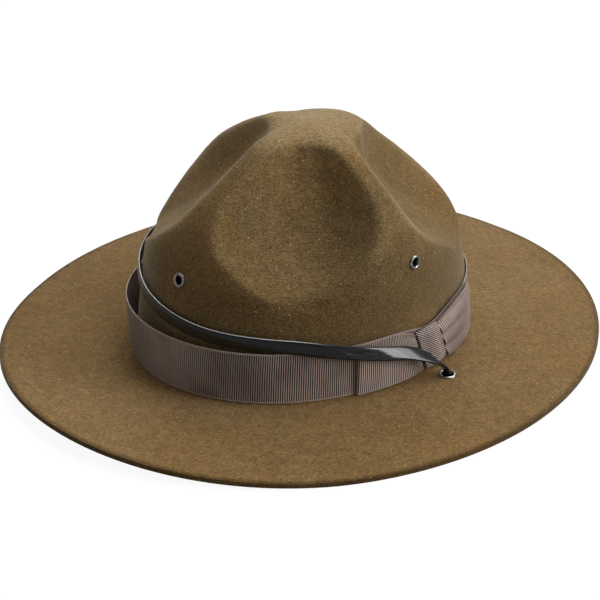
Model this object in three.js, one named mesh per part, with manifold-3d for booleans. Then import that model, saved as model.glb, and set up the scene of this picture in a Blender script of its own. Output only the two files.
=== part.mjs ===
// A campaign hat: a peaked felt crown with four ridges and four dents, a wide flat brim, a ribbon
// band with a flat bow, metal vents and eyelets, and a leather chin strap.
// Millimetres. The hat rests on z = 0. The front is -Y and the wearer's left is +X.
import * as THREE from "three";
import { mergeVertices } from "three/addons/utils/BufferGeometryUtils.js";
import Module from "manifold-3d";

const wasm = await Module();
wasm.setup();

// Felt and brim
const FELT_THICKNESS = 2.8;
const BRIM_WIDTH = { ends: 78.2, sides: 75.8 }; // at the front and back, and at the sides
const BRIM_LEVEL = 7.6; // top of the brim beside the crown
const BRIM_DROP = 3.45; // how much lower the outer edge lies, all round
// The waves of the outer edge, by how many times they rise round the hat.
const BRIM_WAVES = [
  { times: 1, rise: 2.2, turnedRise: -0.9 },
  { times: 2, rise: 1.8, turnedRise: 0.5 },
  { times: 3, rise: 1.5, turnedRise: -0.8 },
];
const BRIM_FALL_POWER = 1.5; // the drop and the waves grow with this power of the way out
const BREAK_RADIUS = 3; // the rounding where the crown turns into the brim
const EDGE_ROUNDING = 0.4;
const TURNS = 64; // steps round the hat

// Crown sections from the brim up. front, back and side are the distances from the middle to the
// ridges. front_dent and back_dent are the shares of that distance that the dents take away in
// their middle, where those in front reach higher. reach is half of a dent's width in degrees, of
// the 45 that are free on both sides of its middle.
const CROWN_ROWS = [
  { height: 0, front: 104, back: 104, side: 83.5, front_dent: 0, back_dent: 0, reach: 10 },
  { height: 24, front: 102, back: 101.2, side: 82.4, front_dent: 0, back_dent: 0, reach: 10 },
  { height: 48, front: 98.7, back: 96.1, side: 81.2, front_dent: 0, back_dent: 0, reach: 8 },
  { height: 57, front: 97.2, back: 93.3, side: 81.1, front_dent: 0.03, back_dent: 0.03, reach: 9 },
  { height: 64, front: 95.4, back: 90, side: 80.9, front_dent: 0.12, back_dent: 0.13, reach: 16 },
  { height: 74, front: 92, back: 83.5, side: 80, front_dent: 0.27, back_dent: 0.28, reach: 26 },
  { height: 84, front: 86.5, back: 75.5, side: 77, front_dent: 0.38, back_dent: 0.38, reach: 33 },
  { height: 95, front: 77.5, back: 65, side: 70, front_dent: 0.46, back_dent: 0.45, reach: 37 },
  { height: 106, front: 62.5, back: 52.5, side: 56.5, front_dent: 0.49, back_dent: 0.4, reach: 38.5 },
  { height: 116, front: 45, back: 41, side: 39.5, front_dent: 0.48, back_dent: 0.22, reach: 37 },
  { height: 122, front: 31, back: 31, side: 26, front_dent: 0.37, back_dent: 0.03, reach: 33 },
  { height: 126, front: 0, back: 0, side: 0, front_dent: 0, back_dent: 0, reach: 30 },
];
const DENT_SHIFT = 4.5; // degrees that the dents lie nearer to the side ridges
const DENT_POWER = 3; // a higher power makes a dent flatter inside and steeper at its rim
const RIM_SOFTNESS = 0.2; // how softly a dent's rim is rounded
const CROWN_STEP = 0.55; // places between two rings of the felt, in rows
const FOOT_PLACE = 0.2; // the lowest ring of the crown wall, in rows
const BRIM_RINGS = [0, 0.2, 0.4, 0.6, 0.8, 0.96, 1]; // shares of the way out

// Ribbon band: height of the ribbon, its cloth, and how far it stands off the crown
const BAND_LOW = 1;
const BAND_HIGH = 30.5;
const RIBBON_THICKNESS = 1;
const BAND_STANDOFF = 1.3;
const BAND_FRONT_LEAN = 0.9; // the top edge stands off this much more at the front
const BAND_FLARE = 5; // and this much more where the band hangs open
const BAND_FLARE_TURN = -34; // degrees from the front, towards the wearer's right
const BAND_FLARE_SPREAD = 34;
const SEAT_GAP = 0.35;

// Bow sections. lowTurn and highTurn are the places of the lower and upper end of each section, in
// degrees from the front, low and high are heights over the brim, and thick is the folded ribbon.
const FRONT_WING_ROWS = [
  { lowTurn: 69.5, highTurn: 69.5, low: 0.9, high: 30.4, thick: 1.5 },
  { lowTurn: 74, highTurn: 74, low: 0.7, high: 31.2, thick: 2.5 },
  { lowTurn: 81, highTurn: 80, low: 0.7, high: 31, thick: 3 },
  { lowTurn: 88.5, highTurn: 86.5, low: 0.9, high: 29, thick: 2.9 },
  { lowTurn: 94.8, highTurn: 90.8, low: 1.6, high: 26, thick: 1.9 },
];
const KNOT_ROWS = [
  { lowTurn: 95.3, highTurn: 91.2, low: 0.9, high: 26.8, thick: 2.2 },
  { lowTurn: 98.2, highTurn: 94.5, low: 0.6, high: 27.8, thick: 4.2 },
  { lowTurn: 101.6, highTurn: 98.4, low: 0.6, high: 28, thick: 4.8 },
  { lowTurn: 104.2, highTurn: 102.2, low: 0.6, high: 27.8, thick: 4.2 },
  { lowTurn: 106.6, highTurn: 105.4, low: 0.9, high: 26.8, thick: 2.2 },
];
const REAR_WING_ROWS = [
  { lowTurn: 107.1, highTurn: 105.9, low: 1.6, high: 26, thick: 1.9 },
  { lowTurn: 111, highTurn: 110, low: 0.9, high: 29, thick: 2.9 },
  { lowTurn: 117, highTurn: 116.5, low: 0.7, high: 31, thick: 3 },
  { lowTurn: 123, highTurn: 123, low: 0.7, high: 31.2, thick: 2.5 },
  { lowTurn: 127.5, highTurn: 127.5, low: 0.9, high: 30.4, thick: 1.5 },
];

// Vents in the ridges and eyelets in the brim
const VENTS = [
  { name: "front_vent", turn: 1.5, height: 61 },
  { name: "left_vent", turn: 93.5, height: 67.5 },
  { name: "back_vent", turn: 180, height: 53 },
  { name: "right_vent", turn: -93.5, height: 67.5 },
];
const VENT = { hole: 2.5, barrel: 2.9, flange: 4.1, flangeThickness: 0.8, sides: 12 };
const EYELET = { hole: 3.3, barrel: 3.75, flange: 4.9, flangeThickness: 0.8, sides: 14 };
const EYELET_TURN = 98.4; // degrees from the front, on both sides
const EYELET_OUT = 15.1; // from the foot of the crown
const HOLE_CLEARANCE = 0.35;
const FLANGE_SEAT = 0.35; // above the felt
const INNER_FLANGE_SEAT = 0.5; // below it, where the felt is hollow
const EYELET_SEAT = 0.35;

// Chin strap, one closed loop. turn is in degrees from the front, off is the distance of the
// middle of the leather from the crown wall, height is over the brim, width is the leather's, and
// tilt turns it from upright on its edge, 0, to flat, 90.
const STRAP_THICKNESS = 1.8;
const STRAP_FLOOR = 1.2; // height of its middle over the floor where it lies under the brim
const SLIDE_FLOOR = 1.8; // and inside its sleeve
const FRONT_STRAP_ROWS = [
  { turn: -96.9, off: 14.6, height: 5.5, width: 5, tilt: 80 },
  { turn: -95, off: 12.2, height: 13, width: 6, tilt: 45 },
  { turn: -90.5, off: 8.3, height: 25, width: 7.4, tilt: 20 },
  { turn: -83, off: 4.2, height: 37, width: 8, tilt: 6 },
  { turn: -73, off: 1.9, height: 44.5, width: 8, tilt: 0 },
  { turn: -58, off: 1.9, height: 47.5, width: 8, tilt: 0 },
  { turn: -38, off: 2, height: 46, width: 8, tilt: 0 },
  { turn: -18, off: 2, height: 42.5, width: 8, tilt: 0 },
  { turn: 0, off: 1.8, height: 39.5, width: 8, tilt: 0 },
  { turn: 18, off: 2, height: 37.2, width: 8, tilt: 0 },
  { turn: 34, off: 2.4, height: 36, width: 8, tilt: 2 },
  { turn: 47, off: 3.9, height: 35, width: 8, tilt: 5 },
  { turn: 58, off: 5.2, height: 32, width: 8, tilt: 8 },
  { turn: 68, off: 6.8, height: 28.4, width: 8, tilt: 12 },
  { turn: 78, off: 8, height: 24, width: 8, tilt: 24 },
  { turn: 86, off: 9.2, height: 20, width: 8, tilt: 36 },
  { turn: 92, off: 11.4, height: 14.5, width: 7.4, tilt: 50 },
  { turn: 95.6, off: 13.8, height: 9, width: 6, tilt: 66 },
  { turn: 97.5, off: 15, height: 4.6, width: 5, tilt: 82 },
];
// The stretch that lies behind the head, from the wearer's left round to the back. It is the same
// on the other side.
const BACK_STRAP_ROWS = [
  { turn: 98.4, off: 15.1, overFloor: 7, width: 4.8, tilt: 90 },
  { turn: 98.45, off: 15.1, overFloor: 4, width: 4.8, tilt: 90 },
  { turn: 99.4, off: 15.1, overFloor: 1.5, width: 5.2, tilt: 90 },
  { turn: 102, off: 15.2, overFloor: STRAP_FLOOR, width: 7.4, tilt: 90 },
  { turn: 112, off: 16, overFloor: STRAP_FLOOR, width: 8, tilt: 90 },
  { turn: 128, off: 17, overFloor: STRAP_FLOOR, width: 8, tilt: 90 },
  { turn: 145, off: 17.5, overFloor: STRAP_FLOOR, width: 8, tilt: 90 },
  { turn: 162, off: 17.5, overFloor: STRAP_FLOOR, width: 8, tilt: 90 },
  { turn: 174, off: 17.5, overFloor: SLIDE_FLOOR, width: 8, tilt: 90 },
];
const STRAP_STEPS_PER_ROW = 3;
const SLIDE = { length: 10, wall: 0.5, clearance: 0.35 };

const COLOURS = { felt: 0x73603f, ribbon: 0x6a5950, leather: 0x15191a, metal: 0x6d6a66 };

const rad = THREE.MathUtils.degToRad;

// The value of one column at a place between rows, on a smooth curve through them that never
// swings past a row's value.
function valueAt(rows, column, place) {
  const last = rows.length - 1;
  const row = Math.min(Math.max(Math.floor(place), 0), last - 1);
  const t = place - row;
  const value = (index) => rows[index][column];
  const slope = (index) => {
    if (index === 0) return value(1) - value(0);
    if (index === last) return value(last) - value(last - 1);
    const before = value(index) - value(index - 1);
    const after = value(index + 1) - value(index);
    return before * after > 0 ? (2 * before * after) / (before + after) : 0;
  };
  return (
    value(row) * (2 * t ** 3 - 3 * t ** 2 + 1) +
    slope(row) * (t ** 3 - 2 * t ** 2 + t) +
    value(row + 1) * (3 * t ** 2 - 2 * t ** 3) +
    slope(row + 1) * (t ** 3 - t ** 2)
  );
}

// The place in CROWN_ROWS where the crown has a height.
function placeAtHeight(height) {
  let low = 0;
  let high = CROWN_ROWS.length - 1;
  for (let halving = 0; halving < 30; halving++) {
    const middle = (low + high) / 2;
    if (valueAt(CROWN_ROWS, "height", middle) < height) low = middle;
    else high = middle;
  }
  return low;
}

// A point of the oval with these half lengths, plus a distance outwards.
function ovalPoint(turn, front, back, side, off, height) {
  const along = Math.cos(turn);
  const length = along > 0 ? front : back;
  return new THREE.Vector3(
    (side + off) * Math.sin(turn),
    -(length + off) * along,
    BRIM_LEVEL + height,
  );
}

// A point of the crown's outside. A dent is a round hollow with a soft rim.
function crownPoint(place, turn) {
  const shifted = THREE.MathUtils.radToDeg(turn) - DENT_SHIFT * Math.sin(2 * turn);
  const fromDent = Math.abs(THREE.MathUtils.euclideanModulo(shifted, 90) - 45);
  const inside = 1 - (fromDent / valueAt(CROWN_ROWS, "reach", place)) ** DENT_POWER;
  const dented = (inside + Math.hypot(inside, RIM_SOFTNESS)) / 2;
  const frontness = (1 + Math.cos(turn)) / 2;
  const deepFront = valueAt(CROWN_ROWS, "front_dent", place);
  const deepBack = valueAt(CROWN_ROWS, "back_dent", place);
  const left = 1 - (deepBack + (deepFront - deepBack) * frontness) * dented;
  return ovalPoint(
    turn,
    valueAt(CROWN_ROWS, "front", place) * left,
    valueAt(CROWN_ROWS, "back", place) * left,
    valueAt(CROWN_ROWS, "side", place) * left,
    0,
    valueAt(CROWN_ROWS, "height", place),
  );
}

// The upright crown wall below the dents, at a height over the brim and a distance from it.
function wallPoint(turn, height, off) {
  const place = placeAtHeight(Math.max(height, 0));
  const oval = ["front", "back", "side"].map((column) => valueAt(CROWN_ROWS, column, place));
  return ovalPoint(turn, ...oval, off, height);
}

// The outward normal of the crown, by stepping a little up and round.
function crownNormal(place, turn) {
  const step = 0.02;
  const up = crownPoint(Math.min(place + step, CROWN_ROWS.length - 1), turn);
  up.sub(crownPoint(place - step, turn));
  const round = crownPoint(place, turn + step).sub(crownPoint(place, turn - step));
  return round.cross(up).normalize();
}

// The top of the brim, out millimetres from the foot of the crown at the sides.
function brimPoint(out, turn) {
  const share = out / BRIM_WIDTH.sides;
  const outAtEnds = share * BRIM_WIDTH.ends;
  let edge = -BRIM_DROP;
  for (const { times, rise, turnedRise } of BRIM_WAVES) {
    edge += rise * Math.cos(times * turn) + turnedRise * Math.sin(times * turn);
  }
  const fall = edge * share ** BRIM_FALL_POWER;
  const foot = CROWN_ROWS[0];
  const lengthen = outAtEnds - out;
  const point = ovalPoint(turn, foot.front + lengthen, foot.back + lengthen, foot.side, out, fall);
  // Where the brim rests, its underside is pressed flat on the floor.
  point.z = Math.max(point.z, FELT_THICKNESS);
  return point;
}

// A solid from closed rings of points. Its ends are closed to the points of ends, or across the
// first and last ring, or the last ring meets the first one.
function solidFromRings(rings, { loop = false, ends = null } = {}) {
  const around = rings[0].length;
  const points = rings.flat();
  const triangles = [];
  const index = (ring, step) => (ring % rings.length) * around + (step % around);
  const lastRing = loop ? rings.length : rings.length - 1;
  for (let ring = 0; ring < lastRing; ring++) {
    for (let step = 0; step < around; step++) {
      const a = index(ring, step);
      const b = index(ring, step + 1);
      const c = index(ring + 1, step + 1);
      const d = index(ring + 1, step);
      triangles.push([a, b, c], [a, c, d]);
    }
  }
  if (ends) {
    points.push(...ends);
    for (let step = 0; step < around; step++) {
      triangles.push([points.length - 2, index(0, step + 1), index(0, step)]);
      const last = rings.length - 1;
      triangles.push([points.length - 1, index(last, step), index(last, step + 1)]);
    }
  } else if (!loop) {
    for (let step = 0; step + 1 < around / 2; step++) {
      const far = around - 1 - step;
      for (const [ring, flip] of [
        [0, true],
        [rings.length - 1, false],
      ]) {
        const quad = [step, step + 1, far - 1, far].map((s) => index(ring, s));
        if (flip) quad.reverse();
        triangles.push([quad[0], quad[1], quad[2]], [quad[0], quad[2], quad[3]]);
      }
    }
  }
  const geometry = new THREE.BufferGeometry().setFromPoints(points);
  geometry.setIndex(triangles.flat());
  return facingOut(geometry);
}

// The same geometry with its faces turned outwards.
function facingOut(geometry) {
  const position = geometry.getAttribute("position");
  const index = geometry.index.array;
  const corner = [new THREE.Vector3(), new THREE.Vector3(), new THREE.Vector3()];
  let volume = 0;
  for (let start = 0; start < index.length; start += 3) {
    corner.forEach((point, k) => point.fromBufferAttribute(position, index[start + k]));
    volume += corner[0].dot(corner[1].clone().cross(corner[2]));
  }
  if (volume < 0) {
    for (let start = 0; start < index.length; start += 3) {
      [index[start + 1], index[start + 2]] = [index[start + 2], index[start + 1]];
    }
  }
  return geometry;
}

// A geometry as a solid for cutting, and back.
function toSolid(geometry) {
  const bare = new THREE.BufferGeometry();
  bare.setAttribute("position", geometry.getAttribute("position"));
  if (geometry.index) bare.setIndex(geometry.index);
  const merged = mergeVertices(bare, 1e-4);
  return new wasm.Manifold(
    new wasm.Mesh({
      numProp: 3,
      vertProperties: merged.getAttribute("position").array,
      triVerts: new Uint32Array(merged.index.array),
    }),
  );
}

function toGeometry(solid) {
  const mesh = solid.getMesh();
  const geometry = new THREE.BufferGeometry();
  geometry.setAttribute("position", new THREE.BufferAttribute(mesh.vertProperties, 3));
  geometry.setIndex(new THREE.BufferAttribute(mesh.triVerts, 1));
  return geometry;
}

// A transform that puts the Y axis of a turned form on an axis through a point.
function alongAxis(point, axis) {
  const turned = new THREE.Quaternion().setFromUnitVectors(new THREE.Vector3(0, 1, 0), axis);
  return new THREE.Matrix4().compose(point, turned, new THREE.Vector3(1, 1, 1));
}

// Felt body: rings from the peak down the outside, over the brim and back up the inside.
function feltGeometry() {
  const top = CROWN_ROWS.length - 1;
  const places = [];
  for (let place = top - CROWN_STEP / 2; place > FOOT_PLACE; place -= CROWN_STEP) {
    places.push(place);
  }
  places.push(FOOT_PLACE);
  const outs = BRIM_RINGS.map((share) =>
    THREE.MathUtils.lerp(BREAK_RADIUS, BRIM_WIDTH.sides - EDGE_ROUNDING, share),
  );
  const ringOf = (make) =>
    Array.from({ length: TURNS }, (_, step) => make((2 * Math.PI * step) / TURNS));
  const lowered = (point, depth) => point.setZ(point.z - depth);
  const inner = (place, turn) =>
    crownPoint(place, turn).addScaledVector(crownNormal(place, turn), -FELT_THICKNESS);
  const softCorner = BREAK_RADIUS * (1 - Math.SQRT1_2);
  const rings = [
    ...places.map((place) => ringOf((turn) => crownPoint(place, turn))),
    ringOf((turn) => wallPoint(turn, softCorner, softCorner)),
    ...outs.map((out) => ringOf((turn) => brimPoint(out, turn))),
    ringOf((turn) => lowered(brimPoint(BRIM_WIDTH.sides, turn), EDGE_ROUNDING)),
    ringOf((turn) => lowered(brimPoint(BRIM_WIDTH.sides, turn), FELT_THICKNESS - EDGE_ROUNDING)),
    ...outs.reverse().map((out) => ringOf((turn) => lowered(brimPoint(out, turn), FELT_THICKNESS))),
    ringOf((turn) => wallPoint(turn, softCorner - FELT_THICKNESS, softCorner - FELT_THICKNESS)),
    ...places.reverse().map((place) => ringOf((turn) => inner(place, turn))),
  ];
  const peak = crownPoint(top, 0);
  const peakInside = lowered(peak.clone(), FELT_THICKNESS);
  return solidFromRings(rings, { ends: [peak, peakInside] });
}

function ventPlace(vent) {
  const place = placeAtHeight(vent.height);
  const turn = rad(vent.turn);
  return { point: crownPoint(place, turn), axis: crownNormal(place, turn) };
}

function eyeletPlace(sideSign) {
  const turn = sideSign * rad(EYELET_TURN);
  const point = brimPoint(EYELET_OUT, turn);
  const outwards = brimPoint(EYELET_OUT + 1, turn).sub(point);
  const round = brimPoint(EYELET_OUT, turn + 0.01).sub(point);
  return { point, axis: outwards.cross(round).normalize() };
}

// The felt with its vent holes and strap holes cut through.
function feltBody() {
  let solid = toSolid(feltGeometry());
  const holes = [
    ...VENTS.map((vent) => ({ ...ventPlace(vent), ring: VENT })),
    ...[1, -1].map((sideSign) => ({ ...eyeletPlace(sideSign), ring: EYELET })),
  ];
  for (const { point, axis, ring } of holes) {
    const radius = ring.barrel + HOLE_CLEARANCE;
    const cutter = new THREE.CylinderGeometry(radius, radius, 6 * FELT_THICKNESS, ring.sides);
    cutter.applyMatrix4(alongAxis(point, axis));
    solid = solid.subtract(toSolid(cutter));
  }
  return toGeometry(solid);
}

// A metal ring set through the felt: a flange outside, a barrel and a smaller flange inside.
function metalRing(ring, point, axis, innerSeat) {
  const outside = FLANGE_SEAT + ring.flangeThickness;
  const inside = -FELT_THICKNESS - innerSeat - ring.flangeThickness;
  const innerFlange = ring.flange - 0.4;
  const profile = [
    [ring.hole, inside],
    [innerFlange, inside],
    [innerFlange, inside + ring.flangeThickness],
    [ring.barrel, inside + ring.flangeThickness],
    [ring.barrel, FLANGE_SEAT],
    [ring.flange, FLANGE_SEAT],
    [ring.flange - 0.3, outside - 0.2],
    [ring.hole + 0.5, outside],
    [ring.hole, outside - 0.4],
    [ring.hole, inside],
  ].map(([radius, height]) => new THREE.Vector2(radius, height));
  const geometry = new THREE.LatheGeometry(profile, ring.sides);
  geometry.applyMatrix4(alongAxis(point, axis));
  return toGeometry(toSolid(geometry));
}

// How far the inside of the band stands off the crown, at a turn and a share of its height.
function bandStandoff(turn, share) {
  const fromFlare = THREE.MathUtils.radToDeg(Math.atan2(Math.sin(turn), Math.cos(turn)));
  const flare = Math.exp(-(((fromFlare - BAND_FLARE_TURN) / BAND_FLARE_SPREAD) ** 2));
  const frontness = Math.max(Math.cos(turn), 0);
  return (
    BAND_STANDOFF + share * BAND_FRONT_LEAN * frontness + BAND_FLARE * flare * (0.2 + 0.8 * share)
  );
}

// A point of the band's cloth, or of what lies on it, at a height over the brim.
function ribbonPoint(turn, height, depth) {
  const share = THREE.MathUtils.clamp((height - BAND_LOW) / (BAND_HIGH - BAND_LOW), 0, 1);
  return wallPoint(turn, height, bandStandoff(turn, share) + depth);
}

function hatBand() {
  const heights = [BAND_LOW, (BAND_LOW + BAND_HIGH) / 2, BAND_HIGH];
  const rings = [];
  for (let step = 0; step < TURNS; step++) {
    const turn = (2 * Math.PI * step) / TURNS;
    rings.push([
      ...heights.map((height) => ribbonPoint(turn, height, 0)),
      ...heights.toReversed().map((height) => ribbonPoint(turn, height, RIBBON_THICKNESS)),
    ]);
  }
  return solidFromRings(rings, { loop: true });
}

// Folded ribbon lying on the band, thickest along the middle of its height.
function bowPiece(rows) {
  const shares = [0, 0.12, 0.5, 0.88, 1];
  const seat = RIBBON_THICKNESS + SEAT_GAP;
  const stepsPerRow = 2;
  const rings = [];
  for (let step = 0; step <= (rows.length - 1) * stepsPerRow; step++) {
    const place = step / stepsPerRow;
    const at = (column) => valueAt(rows, column, place);
    const pointAt = (share, depth) => {
      const turn = rad(THREE.MathUtils.lerp(at("lowTurn"), at("highTurn"), share));
      return ribbonPoint(turn, THREE.MathUtils.lerp(at("low"), at("high"), share), depth);
    };
    const bulge = (share) => at("thick") * (0.6 + 0.4 * Math.sin(Math.PI * share));
    rings.push([
      ...shares.map((share) => pointAt(share, seat)),
      ...shares.toReversed().map((share) => pointAt(share, seat + bulge(share))),
    ]);
  }
  return solidFromRings(rings);
}

// The strap's rows from the back, round the wearer's right side, the front and the left side to
// the back again, with heights over the brim.
function strapRows() {
  const left = BACK_STRAP_ROWS.map((row) => ({ ...row, height: row.overFloor - BRIM_LEVEL }));
  const right = left.map((row) => ({ ...row, turn: -row.turn })).reverse();
  const middle = left.at(-1);
  return [
    { ...middle, turn: -180 },
    ...right,
    ...FRONT_STRAP_ROWS,
    ...left,
    { ...middle, turn: 180 },
  ];
}

// The middle of the leather, its two directions and its width, at a place in the strap's rows.
function strapStation(rows, place) {
  const at = (column, shift = 0) => valueAt(rows, column, place + shift);
  const pointAt = (shift) =>
    wallPoint(rad(at("turn", shift)), at("height", shift), at("off", shift));
  const step = 0.05;
  const point = pointAt(0);
  const along = pointAt(step).sub(pointAt(-step)).normalize();
  const tilt = rad(at("tilt"));
  const outwards = new THREE.Vector3(point.x, point.y, 0).normalize();
  const across = new THREE.Vector3(0, 0, Math.cos(tilt));
  across.addScaledVector(outwards, -Math.sin(tilt));
  across.addScaledVector(along, -across.dot(along)).normalize();
  const face = along.clone().cross(across).normalize();
  return { point, along, across, face, width: at("width") };
}

// The four corners of a strip of leather or metal round a station of the strap.
function stripSection(station, width, thickness) {
  return [
    [-1, -1],
    [1, -1],
    [1, 1],
    [-1, 1],
  ].map(([sideways, outwards]) =>
    station.point
      .clone()
      .addScaledVector(station.across, (sideways * width) / 2)
      .addScaledVector(station.face, (outwards * thickness) / 2),
  );
}

function chinStrap() {
  const rows = strapRows();
  const count = (rows.length - 1) * STRAP_STEPS_PER_ROW;
  const rings = Array.from({ length: count }, (_, step) => {
    const station = strapStation(rows, step / STRAP_STEPS_PER_ROW);
    return stripSection(station, station.width, STRAP_THICKNESS);
  });
  return solidFromRings(rings, { loop: true });
}

// A plain sleeve round the strap where it lies behind the head.
function strapSlide() {
  const middle = strapStation(strapRows(), 0);
  const sleeve = (grow, length) => {
    const ends = [-0.5, 0.5].map((share) => {
      const point = middle.point.clone().addScaledVector(middle.along, share * length);
      return stripSection(
        { ...middle, point },
        middle.width + 2 * grow,
        STRAP_THICKNESS + 2 * grow,
      );
    });
    return toSolid(solidFromRings(ends));
  };
  const outer = sleeve(SLIDE.clearance + SLIDE.wall, SLIDE.length);
  const hollow = sleeve(SLIDE.clearance, 2 * SLIDE.length);
  return toGeometry(outer.subtract(hollow));
}

const felt = new THREE.MeshStandardMaterial({ color: COLOURS.felt, roughness: 0.95 });
const ribbon = new THREE.MeshStandardMaterial({ color: COLOURS.ribbon, roughness: 0.7 });
const leather = new THREE.MeshStandardMaterial({ color: COLOURS.leather, roughness: 0.3 });
const metal = new THREE.MeshStandardMaterial({
  color: COLOURS.metal,
  roughness: 0.4,
  metalness: 0.9,
});

const hat = new THREE.Group();

function addPiece(name, geometry, material) {
  const mesh = new THREE.Mesh(geometry, material);
  mesh.name = name;
  hat.add(mesh);
}

addPiece("felt_body", feltBody(), felt);
addPiece("hat_band", hatBand(), ribbon);
addPiece("bow_front_wing", bowPiece(FRONT_WING_ROWS), ribbon);
addPiece("bow_knot", bowPiece(KNOT_ROWS), ribbon);
addPiece("bow_rear_wing", bowPiece(REAR_WING_ROWS), ribbon);
for (const vent of VENTS) {
  const { point, axis } = ventPlace(vent);
  addPiece(vent.name, metalRing(VENT, point, axis, INNER_FLANGE_SEAT), metal);
}
for (const [name, sideSign] of [
  ["brim_eyelet_left", 1],
  ["brim_eyelet_right", -1],
]) {
  const { point, axis } = eyeletPlace(sideSign);
  addPiece(name, metalRing(EYELET, point, axis, EYELET_SEAT), metal);
}
addPiece("chin_strap", chinStrap(), leather);
addPiece("strap_slide", strapSlide(), metal);

export default hat;
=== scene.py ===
# %% [markdown]
# # A campaign hat
# This lesson dresses a felt campaign hat: a tall peaked crown with four dents, a wide flat brim, a
# ribbon band with a flat bow, metal rings, and a glossy leather chin strap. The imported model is
# loaded as a frame that stays where it is. Each soft piece is then built over its plain solid, in
# metres, with the front of the hat towards -Y and the wearer's left towards +X.

# %% Load the frame
import math
import bmesh
import bpy
from mathutils import Matrix, Vector


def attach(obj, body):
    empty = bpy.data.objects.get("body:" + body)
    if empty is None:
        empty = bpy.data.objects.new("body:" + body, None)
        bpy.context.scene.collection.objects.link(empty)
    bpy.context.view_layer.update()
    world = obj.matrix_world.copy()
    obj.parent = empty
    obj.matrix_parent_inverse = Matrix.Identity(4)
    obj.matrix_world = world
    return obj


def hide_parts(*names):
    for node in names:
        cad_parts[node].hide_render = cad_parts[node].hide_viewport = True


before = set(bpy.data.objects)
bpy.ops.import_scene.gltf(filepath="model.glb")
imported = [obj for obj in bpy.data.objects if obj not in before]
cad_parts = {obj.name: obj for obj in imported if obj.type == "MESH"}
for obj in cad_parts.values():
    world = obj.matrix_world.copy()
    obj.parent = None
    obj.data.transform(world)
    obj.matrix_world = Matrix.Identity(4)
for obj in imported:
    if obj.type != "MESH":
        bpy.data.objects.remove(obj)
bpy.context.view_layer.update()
print("nodes:", sorted(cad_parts))

# %% [markdown]
# ## The camera
# The hat was photographed from its front left, a little above the brim, with a long lens. A camera
# can be placed by hand with constraints, or from three angles and a distance. The angles are
# clearer here, and a small shift of the lens puts the hat where it is in the frame.

# %% Camera
CAMERA_AZIMUTH = 46
CAMERA_ELEVATION = 27.2
CAMERA_ROLL = 1.1
CAMERA_DISTANCE = 1.5
CAMERA_TARGET = Vector((0, 0, 0.0475))
CAMERA_LENS = 158.4
CAMERA_SHIFT = (-0.0083, -0.0675)


def towards(azimuth, elevation):
    """The direction from the hat to something at an azimuth and elevation in degrees."""
    turn = math.radians(azimuth)
    rise = math.radians(elevation)
    flat = math.cos(rise)
    return Vector((math.sin(turn) * flat, -math.cos(turn) * flat, math.sin(rise)))


scene = bpy.context.scene
camera_data = bpy.data.cameras.new("camera")
camera = bpy.data.objects.new("camera", camera_data)
scene.collection.objects.link(camera)
back = towards(CAMERA_AZIMUTH, CAMERA_ELEVATION)
level = towards(CAMERA_AZIMUTH + 90, 0)
upright = back.cross(level)
tip = math.radians(CAMERA_ROLL)
right = level * math.cos(tip) + upright * math.sin(tip)
up = upright * math.cos(tip) - level * math.sin(tip)
facing = Matrix((right, up, back)).transposed().to_4x4()
camera.matrix_world = Matrix.Translation(CAMERA_TARGET + back * CAMERA_DISTANCE) @ facing
camera_data.lens = CAMERA_LENS
camera_data.shift_x, camera_data.shift_y = CAMERA_SHIFT
scene.camera = camera
print("camera at", camera.matrix_world.translation[:])

# %% [markdown]
# ## Helpers for nodes
# The world, the floor and all the finishes are nets of nodes. In the node editor each node is added
# from a menu and joined by dragging. These helpers do the same by the names of the sockets.

# %% Node helpers
def add_node(tree, kind, inputs=None, **settings):
    """A node with its settings, and its inputs given as values or as other nodes' outputs."""
    node = tree.nodes.new(kind)
    for name, value in settings.items():
        setattr(node, name, value)
    for name, value in (inputs or {}).items():
        if isinstance(value, bpy.types.NodeSocket):
            tree.links.new(value, node.inputs[name])
        else:
            node.inputs[name].default_value = value
    return node


def object_place(tree):
    """The place of a point in the hat's own coordinates."""
    return add_node(tree, "ShaderNodeTexCoord").outputs["Object"]


def axes_of(tree, vector):
    """The outputs of a node that splits a vector into X, Y and Z."""
    return add_node(tree, "ShaderNodeSeparateXYZ", {"Vector": vector}).outputs


def mix_colours(tree, factor, first, second):
    """Two colours mixed by a factor."""
    inputs = {0: factor, 6: first, 7: second}
    return add_node(tree, "ShaderNodeMix", inputs, data_type="RGBA").outputs[2]


def map_range(tree, value, low, high, to_low=0.0, to_high=1.0, curve="SMOOTHSTEP"):
    """A value taken from one range to another, and held inside it."""
    inputs = {"Value": value, "From Min": low, "From Max": high, "To Min": to_low, "To Max": to_high}
    return add_node(tree, "ShaderNodeMapRange", inputs, interpolation_type=curve).outputs[0]


def noise(tree, place, scale, detail=2.0, **inputs):
    """A soft noise at a place."""
    inputs = {"Vector": place, "Scale": scale, "Detail": detail, **inputs}
    return add_node(tree, "ShaderNodeTexNoise", inputs).outputs["Fac"]


def reckon(tree, operation, first, second=0.0):
    """One step of arithmetic on values."""
    return add_node(tree, "ShaderNodeMath", {0: first, 1: second}, operation=operation).outputs[0]


def product(tree, first, *others):
    """Two or more values multiplied."""
    for other in others:
        first = reckon(tree, "MULTIPLY", first, other)
    return first


def scaled(tree, colour, scale):
    """A colour made brighter or darker by a scale."""
    inputs = {0: colour, "Scale": scale}
    return add_node(tree, "ShaderNodeVectorMath", inputs, operation="SCALE").outputs[0]


def new_material(name, **sockets):
    """A material with a Principled BSDF whose plain values are set on its own sockets."""
    material = bpy.data.materials.new(name)
    material.use_nodes = True
    shader = material.node_tree.nodes["Principled BSDF"]
    for socket, value in sockets.items():
        shader.inputs[socket.replace("_", " ")].default_value = value
    return material, material.node_tree, shader


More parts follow.
